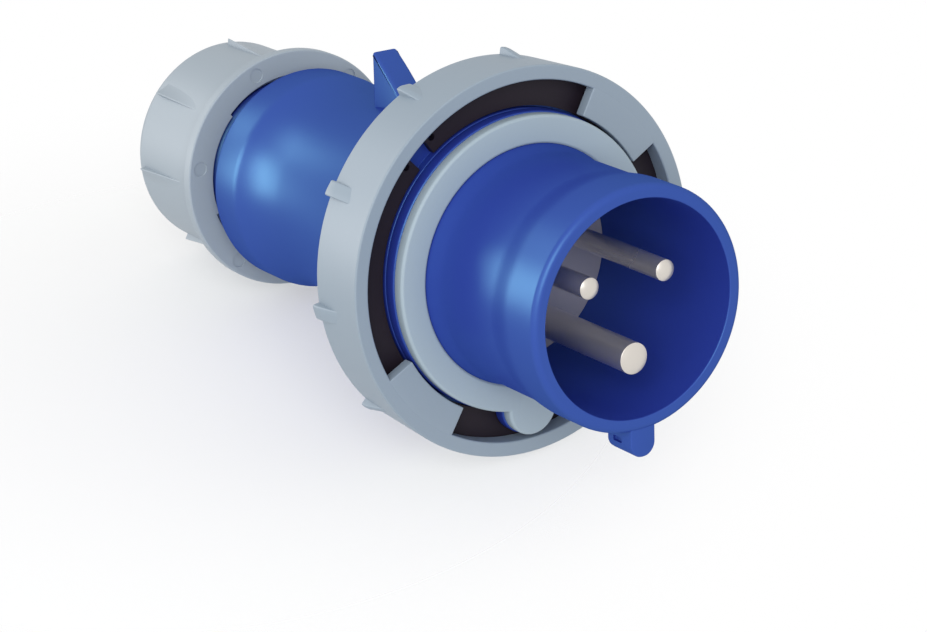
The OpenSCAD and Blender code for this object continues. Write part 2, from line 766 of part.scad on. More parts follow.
module rear_housing() {
    flare_steps = 14;
    fin_steps = 6;
    rise_steps = 7;
    flare_points = [for (i = [0 : flare_steps])
        let (depth = flare_start + (waist_depth - flare_start) * i / flare_steps)
        [flare_radius(depth), -depth]];
    rise_points = [for (i = [1 : rise_steps])
        [rise_radius(i / rise_steps), -waist_depth - rise_length * i / rise_steps]];
    color([0.16, 0.33, 0.66])
    placed()
    difference() {
        union() {
            rotate_extrude()
                polygon(concat(
                    [[housing_bore_r, -flange_thickness - part_gap], [boss_r, -flange_thickness - part_gap],
                        [boss_r, -rear_flange_front], [rear_flange_r, -rear_flange_front],
                        [rear_flange_r, -rear_flange_back], [shoulder_r, -rear_flange_back]],
                    flare_points, rise_points,
                    arc([rim_r - rim_shoulder, -rim_depth - rim_shoulder * sin(rim_slope_angle)],
                        rim_shoulder, rim_slope_angle * 3 / 4, 0, 3),
                    arc([rim_r - rim_round, rim_round - rim_back], rim_round, 0, -90, 5),
                    [[neck_core_r, -rim_back], [neck_r, -rim_back - neck_relief_length],
                        [neck_r, neck_relief - neck_depth],
                        [neck_core_r, -neck_depth], [neck_bore_r, -neck_depth],
                        [neck_bore_r, -neck_ledge_depth], [neck_ledge_r, -neck_ledge_depth],
                        [neck_ledge_r, neck_ledge_height - neck_ledge_depth],
                        [waist_r - housing_wall, -waist_depth], [waist_r - housing_wall, -cavity_depth],
                        [housing_ledge_r, -housing_ledge_depth - housing_ledge_height],
                        [housing_ledge_r, -housing_ledge_depth], [housing_bore_r, -housing_ledge_depth]]));
            radial_plate(concat([[fin_back_depth, waist_r]],
                [for (i = [0 : fin_steps])
                    let (a = fin_ramp_angle + (fin_end_angle - fin_ramp_angle) * i / fin_steps)
                    [fin_curve_depth - fin_ramp_r * sin(a), fin_curve_r + fin_ramp_r * cos(a)]]), fin_width);
        }
        for (a = housing_screw_angles)
            at_angle(a, housing_screw_circle_r)
                barrel(housing_screw_r + hole_gap, flange_thickness - overlap, pilot_depth);
    }
}

module housing_seal() {
    color([0.12, 0.12, 0.13])
    placed()
    seal_ring(housing_bore_r, housing_seal_section, housing_seal_depth);
}

module housing_screws() {
    color([0.75, 0.75, 0.74])
    placed()
    for (a = housing_screw_angles)
        at_angle(a, housing_screw_circle_r)
            translate([0, 0, -screw_head_height - part_gap])
                pan_screw(housing_screw_r, housing_screw_length - screw_head_height,
                    screw_head_height - part_gap);
}

// Rib that rises across the nut to a steep side and fades out toward the flange
module nut_rib() {
    rise_across = (nut_rib_height + nut_rib_sink) / nut_rib_width;
    rise_along = (nut_rib_height + nut_rib_sink) / nut_rib_length;
    slope = norm([1, rise_across, rise_along]);
    block = 2 * nut_rib_length;
    intersection() {
        translate([nut_bore_r + rib_root, -nut_rib_width / 2, -nut_rib_back])
            cube([nut_tip_r - nut_bore_r, nut_rib_width, nut_rib_length]);
        translate([nut_tip_r, nut_rib_width / 2, -nut_rib_back])
            rotate([0, -asin(rise_along / slope), -atan(rise_across)])
                translate([-block, -block, -block]) cube([block, 2 * block, 2 * block]);
    }
}

module gland_nut() {
    color([0.66, 0.73, 0.78])
    placed()
    difference() {
        nut_body();
        for (i = [0 : nut_mark_count - 1])
            at_angle(nut_mark_start + i * 360 / nut_mark_count, nut_mark_circle_r)
                barrel(nut_mark_r, nut_front - overlap, nut_front + nut_mark_depth);
    }
}

module nut_body() {
    union() {
        rotate_extrude()
            polygon(concat(
                [[nut_mouth_r, -nut_front], [nut_flange_r - flange_edge, -nut_front],
                    [nut_flange_r, -nut_front - flange_edge],
                    [nut_flange_r, -nut_front - nut_flange_thickness]],
                arc([nut_r + nut_fillet, -nut_front - nut_flange_thickness - nut_fillet],
                    nut_fillet, 90, 180, 4),
                arc([nut_r - nut_round, nut_round - nut_depth], nut_round, 0, -90),
                [[nut_entry_r, -nut_depth], [nut_entry_r, -nut_entry_depth],
                    [finger_tip_r + nut_cone_gap, -finger_end],
                    [cage_tube_r + nut_cone_gap, -nut_shoulder], [nut_bore_r, -nut_shoulder],
                    [nut_bore_r, -nut_front - nut_lip_depth - nut_lip_height],
                    [nut_mouth_r, -nut_front - nut_lip_depth]]));
        for (i = [0 : nut_lip_count - 1])
            rotate([0, 0, nut_lip_start - nut_lip_span / 2 + i * 360 / nut_lip_count])
                rotate_extrude(angle = nut_lip_span)
                    translate([nut_lip_r, -nut_front - nut_lip_depth])
                        square([nut_mouth_r + overlap - nut_lip_r, nut_lip_depth]);
        for (a = nut_rib_angles) at_angle(a) nut_rib();
    }
}

module gland_washer() {
    color([0.85, 0.85, 0.84])
    placed()
    difference() {
        barrel(cage_r, washer_front, washer_back);
        barrel(washer_hole_r, washer_front - overlap, washer_back + overlap);
    }
}

module gland_cage() {
    color([0.2, 0.2, 0.21])
    placed()
    difference() {
        rotate_extrude()
            polygon([[cage_core_r, -cage_front], [cage_r, -cage_front], [cage_r, -cage_back],
                [cage_tube_r, -cage_back], [finger_tip_r, -finger_end], [cage_core_r, -finger_end]]);
        for (i = [0 : finger_count - 1])
            at_angle(i * 360 / finger_count)
                translate([0, -finger_slot / 2, -finger_end - overlap])
                    cube([cage_r, finger_slot, finger_length - part_gap + overlap]);
    }
}

module gland_bush() {
    color([0.15, 0.15, 0.16])
    placed()
    difference() {
        barrel(bush_r, bush_front, bush_back);
        barrel(cable_r, bush_front - overlap, bush_back + overlap);
    }
}

shroud();
flange_gasket();
carrier_front();
carrier_back();
carrier_seal();
carrier_screws();
earth_pin();
live_pin();
neutral_pin();
terminal_screws();
wire_clamp_plates();
bayonet_ring();
ring_retainer();
rear_housing();
housing_seal();
housing_screws();
gland_nut();
gland_washer();
gland_cage();
gland_bush();
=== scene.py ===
import bpy, bmesh, json, math
from mathutils import Vector, Matrix


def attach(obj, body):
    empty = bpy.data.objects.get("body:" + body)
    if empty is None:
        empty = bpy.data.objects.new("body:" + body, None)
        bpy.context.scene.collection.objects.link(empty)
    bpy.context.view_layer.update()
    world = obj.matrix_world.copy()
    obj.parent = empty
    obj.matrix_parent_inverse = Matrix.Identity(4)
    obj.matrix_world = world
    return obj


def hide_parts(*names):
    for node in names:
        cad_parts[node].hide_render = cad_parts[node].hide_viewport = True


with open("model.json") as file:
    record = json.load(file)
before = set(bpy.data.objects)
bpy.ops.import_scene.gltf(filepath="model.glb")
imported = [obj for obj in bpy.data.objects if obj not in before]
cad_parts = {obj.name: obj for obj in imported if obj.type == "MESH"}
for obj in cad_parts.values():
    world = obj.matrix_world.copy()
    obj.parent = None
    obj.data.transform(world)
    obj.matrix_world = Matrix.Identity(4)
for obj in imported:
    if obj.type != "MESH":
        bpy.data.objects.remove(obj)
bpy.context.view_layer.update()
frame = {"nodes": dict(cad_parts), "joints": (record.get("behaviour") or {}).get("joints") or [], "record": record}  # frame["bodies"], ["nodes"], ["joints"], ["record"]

mm = 0.001

# The plug's own axis: z out of the mouth, x to the fin, from the ring's joint and the earth pin's mount
ringJoint = next(j for j in frame["joints"] if j["name"] == "locking_ring_turn")
earthMount = next(m for m in frame["record"]["mounts"] if m["name"] == "earth_contact")
seat = Vector(ringJoint["pos_m"])
front = Vector(ringJoint["axis"]).normalized()
toKey = Vector(earthMount["pos_m"]) - seat
toKey = (toKey - front * toKey.dot(front)).normalized()
side = front.cross(-toKey)
toWorld = Matrix.Translation(seat) @ Matrix((-toKey, side, front)).transposed().to_4x4() @ Matrix.Scale(mm, 4)


def polar(angle, radius):
    return radius * math.cos(math.radians(angle)), radius * math.sin(math.radians(angle))


def arcPoints(centre, radius, start, end, steps):
    return [(centre[0] + polar(start + (end - start) * i / steps, radius)[0],
             centre[1] + polar(start + (end - start) * i / steps, radius)[1]) for i in range(steps + 1)]


# Corners (x, y, radius) become a path with rounded corners, each kept tight by a point just outside its arc
def roundPath(corners, closed=True, stepAngle=15):
    count = len(corners)
    path = []
    for i, corner in enumerate(corners):
        here = Vector(corner[:2])
        radius = corner[2] if len(corner) > 2 else 0
        ends = not closed and i in (0, count - 1)
        if radius <= 0 or ends:
            path.append(tuple(here))
            continue
        before = Vector(corners[i - 1][:2]) - here
        after = Vector(corners[(i + 1) % count][:2]) - here
        turn = before.angle(after)
        if turn > math.pi - 0.02:
            path.append(tuple(here))
            continue
        reach = min(radius / math.tan(turn / 2), 0.46 * before.length, 0.46 * after.length)
        radius = reach * math.tan(turn / 2)
        support = min(0.25 * radius, 0.03 * before.length, 0.03 * after.length)
        before.normalize()
        after.normalize()
        centre = here + (before + after).normalized() * radius / math.sin(turn / 2)
        first = here + before * reach - centre
        last = here + after * reach - centre
        sweep = first.angle_signed(last)
        steps = max(2, round(math.degrees(abs(sweep)) / stepAngle))
        path.append(tuple(here + before * (reach + support)))
        for k in range(steps + 1):
            turned = first.copy()
            turned.rotate(Matrix.Rotation(-sweep * k / steps, 2))
            path.append(tuple(centre + turned))
        path.append(tuple(here + after * (reach + support)))
    return path


# A shape is its points in the plug's own millimetres and its faces
def newMesh(name, shape):
    mesh = bpy.data.meshes.new(name)
    mesh.from_pydata(shape[0], [], shape[1])
    work = bmesh.new()
    work.from_mesh(mesh)
    bmesh.ops.remove_doubles(work, verts=work.verts, dist=1e-4)
    bmesh.ops.recalc_face_normals(work, faces=work.faces)
    work.to_mesh(mesh)
    work.free()
    return mesh


def joinMeshes(name, *meshes):
    work = bmesh.new()
    for mesh in meshes:
        work.from_mesh(mesh)
    joined = bpy.data.meshes.new(name)
    work.to_mesh(joined)
    work.free()
    return joined


def join(*shapes):
    verts, faces = [], []
    for shapeVerts, shapeFaces in shapes:
        base = len(verts)
        verts += shapeVerts
        faces += [tuple(base + i for i in face) for face in shapeFaces]
    return verts, faces


def meshFrom(item):
    bpy.context.view_layer.update()
    return bpy.data.meshes.new_from_object(item.evaluated_get(bpy.context.evaluated_depsgraph_get()))


# Takes one closed mesh out of another
def cutMesh(mesh, cutter):
    body = bpy.data.objects.new("cutBody", mesh)
    tool = bpy.data.objects.new("cutTool", cutter)
    for item in (body, tool):
        bpy.context.scene.collection.objects.link(item)
    modifier = body.modifiers.new("cut", "BOOLEAN")
    modifier.operation = "DIFFERENCE"
    modifier.solver = "EXACT"
    modifier.object = tool
    result = meshFrom(body)
    for item in (body, tool):
        bpy.data.objects.remove(item)
    return result


# Turns an (r, z) path round the axis. A full turn is closed on itself, a part turn gets end faces.
def revolve(path, segments=180, start=0, sweep=360, closed=True):
    full = abs(sweep - 360) < 1e-6
    columns = segments if full else segments + 1
    verts = [polar(start + sweep * c / segments, r) + (z,) for c in range(columns) for r, z in path]
    rows = len(path)
    faces = []
    for c in range(segments):
        nextColumn = (c + 1) % columns
        for i in range(rows if closed else rows - 1):
            k = (i + 1) % rows
            faces.append((c * rows + i, nextColumn * rows + i, nextColumn * rows + k, c * rows + k))
    if not full:
        faces += [tuple(range(rows)), tuple(range(columns * rows - rows, columns * rows))]
    return verts, faces


# Rings of points, each (list of xy, z), joined one to the next, and closed flat or back to the first
def loft(rings, closed=False):
    count = len(rings[0][0])
    verts = [(x, y, z) for points, z in rings for x, y in points]
    faces = []
    for r in range(len(rings) if closed else len(rings) - 1):
        a, b = r * count, (r + 1) % len(rings) * count
        faces += [(a + i, a + (i + 1) % count, b + (i + 1) % count, b + i) for i in range(count)]
    if not closed:
        faces += [tuple(range(count)), tuple(range((len(rings) - 1) * count, len(rings) * count))]
    return verts, faces


# Block with rounded edges in its own u, v, w, each from low to high, then bent by place(u, v, w)
def roundBlock(low, high, radius, place=lambda u, v, w: (u, v, w), cuts=(8, 8, 8), arcSteps=4):
    size = [high[i] - low[i] for i in range(3)]
    limit = min(radius, min(size) * 0.49)
    lines = []
    for i in range(3):
        inner = size[i] - 2 * limit
        line = [limit - limit * math.tan(math.pi / 4 * (1 - k / arcSteps)) for k in range(arcSteps)]
        line += [limit + inner * k / cuts[i] for k in range(cuts[i] + 1)]
        line += [size[i] - v for v in reversed(line[:arcSteps])]
        lines.append([low[i] + v for v in line])
    index, verts, faces = {}, [], []

    def vertex(p):
        if p not in index:
            index[p] = len(verts)
            inner = Vector([min(max(p[i], low[i] + limit), high[i] - limit) for i in range(3)])
            off = Vector(p) - inner
            if off.length > 1e-9:
                off = off.normalized() * limit
            verts.append(tuple(place(*(inner + off))))
        return index[p]

    for axis in range(3):
        u, v = (axis + 1) % 3, (axis + 2) % 3
        for end in (lines[axis][0], lines[axis][-1]):
            for i in range(len(lines[u]) - 1):
                for k in range(len(lines[v]) - 1):
                    corners = []
                    for a, b in ((i, k), (i + 1, k), (i + 1, k + 1), (i, k + 1)):
                        p = [0, 0, 0]
                        p[axis], p[u], p[v] = end, lines[u][a], lines[v][b]
                        corners.append(vertex(tuple(p)))
                    faces.append(tuple(corners))
    return verts, faces


def addPiece(name, mesh, materials, body, nodes=(), angle=38):
    mesh.name = name
    mesh.transform(toWorld)
    piece = bpy.data.objects.new(name, mesh)
    bpy.context.scene.collection.objects.link(piece)
    mesh.materials.clear()
    for material in materials:
        mesh.materials.append(material)
    mesh.shade_smooth()
    mesh.set_sharp_from_angle(angle=math.radians(angle))
    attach(piece, body)
    if nodes:
        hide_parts(*nodes)
    print(name, len(mesh.polygons), "faces")


def addNode(tree, kind, label=None, **values):
    item = tree.nodes.new(kind)
    for key, value in values.items():
        setattr(item, key, value)
    if label:
        item.label = label
    return item


# Copies of one shape at even angles round the z axis, in the plug's own millimetres
def patternTree():
    tree = bpy.data.node_groups.new("roundPattern", "GeometryNodeTree")
    face = tree.interface
    face.new_socket("Geometry", in_out="INPUT", socket_type="NodeSocketGeometry")
    for name, kind, value in (("Count", "NodeSocketInt", 10), ("Start Angle", "NodeSocketFloat", 0.0),
                              ("Material", "NodeSocketMaterial", None)):
        socket = face.new_socket(name, in_out="INPUT", socket_type=kind)
        if value is not None:
            socket.default_value = value
    face.new_socket("Geometry", in_out="OUTPUT", socket_type="NodeSocketGeometry")
    link = tree.links.new
    start = addNode(tree, "NodeGroupInput")
    points = addNode(tree, "GeometryNodePoints")
    link(start.outputs["Count"], points.inputs["Count"])
    index = addNode(tree, "GeometryNodeInputIndex")
    share = addNode(tree, "ShaderNodeMath", "full turn by count", operation="DIVIDE")
    share.inputs[0].default_value = math.tau
    link(start.outputs["Count"], share.inputs[1])
    angle = addNode(tree, "ShaderNodeMath", "angle of each copy", operation="MULTIPLY_ADD")
    link(index.outputs[0], angle.inputs[0])
    link(share.outputs[0], angle.inputs[1])
    radians = addNode(tree, "ShaderNodeMath", "start in radians", operation="RADIANS")
    link(start.outputs["Start Angle"], radians.inputs[0])
    link(radians.outputs[0], angle.inputs[2])
    turn = addNode(tree, "ShaderNodeCombineXYZ")
    link(angle.outputs[0], turn.inputs["Z"])
    copies = addNode(tree, "GeometryNodeInstanceOnPoints")
    link(points.outputs[0], copies.inputs["Points"])
    link(start.outputs["Geometry"], copies.inputs["Instance"])
    link(turn.outputs[0], copies.inputs["Rotation"])
    real = addNode(tree, "GeometryNodeRealizeInstances")
    link(copies.outputs[0], real.inputs[0])
    paint = addNode(tree, "GeometryNodeSetMaterial")
    link(real.outputs[0], paint.inputs["Geometry"])
    link(start.outputs["Material"], paint.inputs["Material"])
    end = addNode(tree, "NodeGroupOutput")
    link(paint.outputs[0], end.inputs[0])
    return tree


def setInput(modifier, name, value):
    for item in modifier.node_group.interface.items_tree:
        if item.item_type == "SOCKET" and item.in_out == "INPUT" and item.name == name:
            modifier[item.identifier] = value


def patternMesh(name, shape, count, start, material):
    source = bpy.data.objects.new(name + "Source", newMesh(name, shape))
    bpy.context.scene.collection.objects.link(source)
    modifier = source.modifiers.new("pattern", "NODES")
    modifier.node_group = roundPattern
    setInput(modifier, "Count", count)
    setInput(modifier, "Start Angle", float(start))
    setInput(modifier, "Material", material)
    source.update_tag()
    mesh = meshFrom(source)
    bpy.data.objects.remove(source)
    return mesh


# Moulded or turned surface: slow colour patches, gloss that follows them, and a fine grain
def makeMaterial(name, color, roughness, metallic=0.0, variation=0.03, grain=1200, grainBump=0.03,
                 patch=22, level=0.5, gloss=0.04, polish=None, polishShare=0.06):
    material = bpy.data.materials.new(name)
    material.use_nodes = True
    tree = material.node_tree
    link = tree.links.new
    shader = tree.nodes["Principled BSDF"]
    shader.inputs["Metallic"].default_value = metallic
    shader.inputs["Specular IOR Level"].default_value = level
    place = addNode(tree, "ShaderNodeTexCoord")
    patches = addNode(tree, "ShaderNodeTexNoise", "colour patches")
    patches.inputs["Scale"].default_value = patch
    patches.inputs["Detail"].default_value = 3
    link(place.outputs["Object"], patches.inputs["Vector"])
    tone = addNode(tree, "ShaderNodeMapRange", "darker to lighter")
    tone.inputs["To Min"].default_value = 1 - variation
    tone.inputs["To Max"].default_value = 1 + variation
    link(patches.outputs["Fac"], tone.inputs["Value"])
    shade = addNode(tree, "ShaderNodeVectorMath", "shade", operation="SCALE")
    shade.inputs[0].default_value = color
    link(tone.outputs[0], shade.inputs["Scale"])
    link(shade.outputs[0], shader.inputs["Base Color"])
    fine = addNode(tree, "ShaderNodeTexNoise", "moulded grain")
    fine.inputs["Scale"].default_value = grain
    fine.inputs["Detail"].default_value = 4
    link(place.outputs["Object"], fine.inputs["Vector"])
    dull = addNode(tree, "ShaderNodeMapRange", "roughness")
    dull.inputs["To Min"].default_value = max(0.02, roughness - gloss)
    dull.inputs["To Max"].default_value = roughness + gloss
    link(patches.outputs["Fac"], dull.inputs["Value"])
    link(dull.outputs[0], shader.inputs["Roughness"])
    bump = addNode(tree, "ShaderNodeBump")
    bump.inputs["Strength"].default_value = grainBump
    bump.inputs["Distance"].default_value = 0.0004
    link(fine.outputs["Fac"], bump.inputs["Height"])
    link(bump.outputs[0], shader.inputs["Normal"])
    if polish:  # a coloured gloss that doesn't turn white at the edges
        shine = addNode(tree, "ShaderNodeBsdfAnisotropic", "polish")
        shine.inputs["Color"].default_value = polish + (1,)
        link(dull.outputs[0], shine.inputs["Roughness"])
        link(bump.outputs[0], shine.inputs["Normal"])
        both = addNode(tree, "ShaderNodeMixShader", "body and polish")
        both.inputs[0].default_value = polishShare
        link(shader.outputs[0], both.inputs[1])
        link(shine.outputs[0], both.inputs[2])
        link(both.outputs[0], tree.nodes["Material Output"].inputs["Surface"])
    return material


blue = makeMaterial("housingBlue", (0.022, 0.040, 0.305), 0.38, grain=1400, level=0.0,
                    polish=(0.32, 0.76, 0.95), polishShare=0.08)
ringGrey = makeMaterial("ringGrey", (0.27, 0.335, 0.40), 0.5, grainBump=0.04)
nutGrey = makeMaterial("nutGrey", (0.34, 0.40, 0.455), 0.5, grainBump=0.04)
gasketGrey = makeMaterial("gasketGrey", (0.355, 0.44, 0.50), 0.62, grain=800, grainBump=0.05)
carrierGrey = makeMaterial("carrierGrey", (0.42, 0.40, 0.45), 0.5, grainBump=0.04)
blackRubber = makeMaterial("blackRubber", (0.012, 0.012, 0.013), 0.7, grain=700, grainBump=0.1)
retainerBlack = makeMaterial("retainerBlack", (0.017, 0.012, 0.019), 0.5, variation=0.2, level=0.2,
                             grainBump=0.04)
blackPlastic = makeMaterial("blackPlastic", (0.02, 0.018, 0.022), 0.45, grainBump=0.04)
screwSteel = makeMaterial("screwSteel", (0.55, 0.55, 0.54), 0.3, metallic=1.0, grain=600, grainBump=0.02)
washerWhite = makeMaterial("washerWhite", (0.7, 0.7, 0.69), 0.5)
# Pin body and domed end: the same nickel in two tones, a painted reflection rather than two finishes
pinBodyPaintedTone = makeMaterial("pinBodyPaintedTone", (0.88, 0.85, 0.82), 0.28, metallic=0.85, grain=900, grainBump=0.02)
pinEndPaintedTone = makeMaterial("pinEndPaintedTone", (0.66, 0.62, 0.57), 0.36, metallic=0.8, grain=700, grainBump=0.05)
roundPattern = patternTree()
print("materials and pattern made")

# Blue shroud: sleeve with its lip, band and root flare, and the spigot behind
shroud = {"boreR": 25.0, "mouthR": 25.8, "sleeveR": 28.2, "bandR": 29.1, "rootR": 29.2, "length": 45.7,
          "lipRound": 1.9, "bandLength": 13, "bandSlope": 2, "stepSpread": 3.5, "stepPoints": 14,
          "flareLength": 5, "rootFront": 3, "rootBack": 1.7, "spigotR": 31.5, "spigotDepth": 20.8,
          "seatR": 26.5, "faceDepth": 2.6}
flange = {"radius": 36.3, "thick": 3.4, "lobeR": 7.0, "lobeCentre": 35.8, "hole": 27.0, "edge": 0.35,
          "screwCircle": 33.6, "screwHole": 1.5, "headHole": 2.3, "headDepth": 2.1}
lug = {"baseR": 26.8, "reach": 35.6, "width": 6.8, "round": 3.3, "shift": -0.8, "front": 45.3, "length": 9.2,
       "backRound": 2.3, "edge": 0.35, "pocketR": 31.3, "pocketHeight": 1.3, "pocketDepth": 0.8,
       "pocketSetback": 3.7, "pocketLength": 3.2}
key = {"baseR": 26.8, "reach": 30.2, "width": 7.0, "length": 40.7, "edge": 0.6}

s = shroud
bandEnd = s["length"] - s["bandLength"]
stepFall, stepLength = s["bandR"] - s["sleeveR"], s["bandSlope"] + 2 * s["stepSpread"]
softStep = [(s["sleeveR"] + stepFall * (0.5 + 0.5 * math.cos(math.pi * i / s["stepPoints"])),
             bandEnd + s["stepSpread"] - stepLength * i / s["stepPoints"], 0.02)
            for i in range(s["stepPoints"] + 1)]
sleevePath = roundPath([
    (s["boreR"], -s["faceDepth"], 0.1), (s["mouthR"], s["length"], 0.35),
    (s["bandR"], s["length"], s["lipRound"]), *softStep, (s["sleeveR"], s["rootFront"] + s["flareLength"], 9),
    (s["rootR"], s["rootFront"], 0.2), (s["rootR"], -s["rootBack"], 0.1), (s["spigotR"], -s["rootBack"], 0.1),
    (s["spigotR"], -s["spigotDepth"], 0.6), (s["seatR"], -s["spigotDepth"], 0.3),
    (s["seatR"], -s["faceDepth"], 0.1)])
sleeve = newMesh("sleeve", revolve(sleevePath, 240))


# Round plate with the round lobe under the key and a hole: outer points at an inset, and the hole's points
def lobedOutline(radius, lobe, centre, inset, mainSteps=168, lobeSteps=36):
    big, small = radius - inset, lobe - inset
    meet = math.degrees(math.acos((big * big + centre * centre - small * small) / (2 * big * centre)))
    meetX, meetY = polar(meet, big)
    lobeMeet = math.degrees(math.atan2(meetY, meetX - centre))
    points = [polar(180 + meet + (360 - 2 * meet) * i / mainSteps, big) for i in range(mainSteps)]
    for i in range(lobeSteps):
        x, y = polar(-lobeMeet + 2 * lobeMeet * i / lobeSteps, small)
        points.append((-x - centre, -y))
    return points


def holeOutline(outer, radius, notch=0, notchR=0):
    points = []
    for x, y in outer:
        angle = math.atan2(y, x)
        off = abs(abs(angle) - math.pi)
        here = radius
        if notch and off < math.atan2(notch, notchR):
            here = notchR / math.cos(off)
        points.append((here * math.cos(angle), here * math.sin(angle)))
    return points


def lobedPlate(radius, lobe, centre, low, high, edge, bevel, hole, holeBevel, notch=0, notchR=0):
    outer = [(edge, low), (edge * 0.3, low + edge * 0.3), (0, low + edge), (0, high - bevel - 0.3),
             (0.03, high - bevel - 0.05), (0.1, high - bevel + 0.1), (bevel - 0.1, high - 0.1),
             (bevel + 0.05, high - 0.02), (bevel + 0.3, high)]
    rings = [(lobedOutline(radius, lobe, centre, inset), z) for inset, z in outer]
    base = lobedOutline(radius, lobe, centre, 0)
    for wider, z in ((holeBevel + 0.25, high), (holeBevel, high - 0.03), (0, high - holeBevel), (0, low)):
        rings.append((holeOutline(base, hole + wider, notch, notchR + wider), z))
    return loft(rings, closed=True)


f = flange
flangeMesh = newMesh("flange", lobedPlate(f["radius"], f["lobeR"], f["lobeCentre"], -f["thick"], -0.02,
                                          f["edge"], f["edge"], f["hole"], 0.1))
holePath = [(0.001, 1), (f["headHole"], 1), (f["headHole"], -f["headDepth"]),
            (f["screwHole"], -f["headDepth"]), (f["screwHole"], -f["thick"] - 1), (0.001, -f["thick"] - 1)]
holeShape = revolve(holePath, 32)
holeShape = ([(x + f["screwCircle"], y, z) for x, y, z in holeShape[0]], holeShape[1])
flangeMesh = cutMesh(flangeMesh, patternMesh("screwHoles", holeShape, 3, 0, blue))


# Lug under the mouth: a rounded tongue whose outer edge rounds down at the back, with a small pocket
def lugRing(z, inset):
    g = lug
    back = g["front"] - g["length"]
    reach = g["reach"]
    if z < back + g["backRound"]:
        reach += -g["backRound"] + math.sqrt(max(0, g["backRound"] ** 2 - (back + g["backRound"] - z) ** 2))
    half = g["width"] / 2
    top = g["reach"] - g["round"]
    points = [(g["baseR"], -half + inset)]
    points += arcPoints((top, -half + g["round"]), g["round"] - inset, -90, 0, 12)
    points += arcPoints((top, half - g["round"]), g["round"] - inset, 0, 90, 12)
    points.append((g["baseR"], half - inset))
    return [(-min(r, reach - inset), g["shift"] + y) for r, y in points]


g = lug
back = g["front"] - g["length"]
lugLevels = [(back, g["edge"]), (back + 0.1, 0.15), (back + 0.3, 0.0)]
lugLevels += [(back + g["backRound"] * (1 - math.cos(math.radians(a))), 0.0) for a in range(35, 91, 8)]
lugLevels += [(z, 0.0) for z in (39.5, 41, 42.5, 44, g["front"] - 0.5, g["front"] - 0.35)]
lugLevels += [(g["front"] - 0.15, 0.08), (g["front"] - 0.04, 0.2), (g["front"], g["edge"])]
lugMesh = newMesh("lug", loft([(lugRing(z, inset), z) for z, inset in lugLevels]))
pocketSide = g["shift"] + g["width"] / 2
pocketTop = g["front"] - g["pocketSetback"]
pocketLow = (-g["pocketR"] - g["pocketHeight"], pocketSide - g["pocketDepth"], pocketTop - g["pocketLength"])
pocket = newMesh("pocket", roundBlock(pocketLow, (-g["pocketR"], pocketSide + 1, pocketTop), 0.25,
                                      cuts=(2, 2, 2)))
lugMesh = cutMesh(lugMesh, pocket)
keyMesh = newMesh("key", roundBlock((-key["reach"], -key["width"] / 2, 0),
                                    (-key["baseR"], key["width"] / 2, key["length"]),
                                    key["edge"], cuts=(2, 4, 10)))
addPiece("shroudBlue", joinMeshes("shroudBlue", sleeve, flangeMesh, lugMesh, keyMesh), [blue], "plug_body",
         ["shroud"])

# Screws from the flange into the housing, their slotted heads under the gasket
screws = {"count": 3, "circle": 33.6, "shankR": 1.2, "headR": 2.2, "headTop": -0.12, "headBottom": -2.05,
          "end": -16.1, "point": 1.2, "slotWidth": 0.8, "slotDepth": 0.9}
w = screws
screwPath = roundPath([(0.01, w["headTop"]), (w["headR"], w["headTop"], 0.5),
                       (w["headR"], w["headBottom"], 0.1), (w["shankR"], w["headBottom"], 0.05),
                       (w["shankR"], w["end"] + w["point"], 0.1), (0.01, w["end"])], False)
screwMesh = newMesh("screw", revolve(screwPath, 40, closed=False))
slotMesh = newMesh("slot", roundBlock((-4, -w["slotWidth"] / 2, w["headTop"] - w["slotDepth"]),
                                      (4, w["slotWidth"] / 2, 1), 0.05, cuts=(2, 2, 2)))
screwMesh = cutMesh(screwMesh, slotMesh)
screwMesh.transform(Matrix.Translation((w["circle"], 0, 0)))
screwShape = ([tuple(v.co) for v in screwMesh.vertices],
              [tuple(face.vertices) for face in screwMesh.polygons])
addPiece("housingScrews", patternMesh("housingScrews", screwShape, w["count"], 0, screwSteel), [screwSteel],
         "plug_body", ["housing_screws"])

# Flat gasket, notched for the key ridge
gasket = {"radius": 36.0, "lobeR": 6.7, "thick": 3.0, "bevel": 0.5, "hole": 29.25, "holeBevel": 0.35,
          "notchHalf": 3.55, "notchR": 30.25}
a = gasket
gasketShape = lobedPlate(a["radius"], a["lobeR"], f["lobeCentre"], 0, a["thick"], 0.15, a["bevel"], a["hole"],
                         a["holeBevel"], a["notchHalf"], a["notchR"])
addPiece("flatGasket", newMesh("flatGasket", gasketShape), [gasketGrey], "plug_body",
         ["flange_gasket"])

# Locking ring: wall, retaining groove, inner web and two bayonet tabs
ring = {"wallR": 43.9, "frontR": 47.5, "backR": 46.6, "reach": 1.3, "depth": 17.0, "webR": 41.4,
        "webFront": 9.7, "webThick": 2.6, "backWall": 2.4, "grooveR": 44.9, "grooveFront": 3.5,
        "grooveBack": 5.6, "edge": 0.4,
        "tabR": 37.0, "tabThick": 3.0, "tabSink": 0.7, "tabSpan": 31.5, "tabAngles": (-43.5, 133.75)}
ribs = {"count": 10, "start": -10, "width": 3.8, "rootR": 45.0, "tipR": 48.3, "length": 9.5, "flat": 2.0,
        "fall": 1.4, "sink": 1.1, "sinkSide": 0.35, "sinkFromR": 46, "sinkOver": 1.5, "edge": 0.4}
r = ring
webBack = -r["webFront"] - r["webThick"]
ringPath = roundPath([
    (r["wallR"], r["reach"], r["edge"]), (r["frontR"], r["reach"], r["edge"]), (r["backR"], -r["depth"], 0.5),
    (r["backR"] - r["backWall"], -r["depth"], 0.3), (r["backR"] - r["backWall"], webBack, 0.4),
    (r["webR"], webBack, 0.3), (r["webR"], -r["webFront"], 0.3), (r["wallR"], -r["webFront"], 0.2),
    (r["wallR"], -r["grooveBack"], 0.15), (r["grooveR"], -r["grooveBack"], 0.1),
    (r["grooveR"], -r["grooveFront"], 0.1), (r["wallR"], -r["grooveFront"], 0.15)])
ringBody = revolve(ringPath, 270)
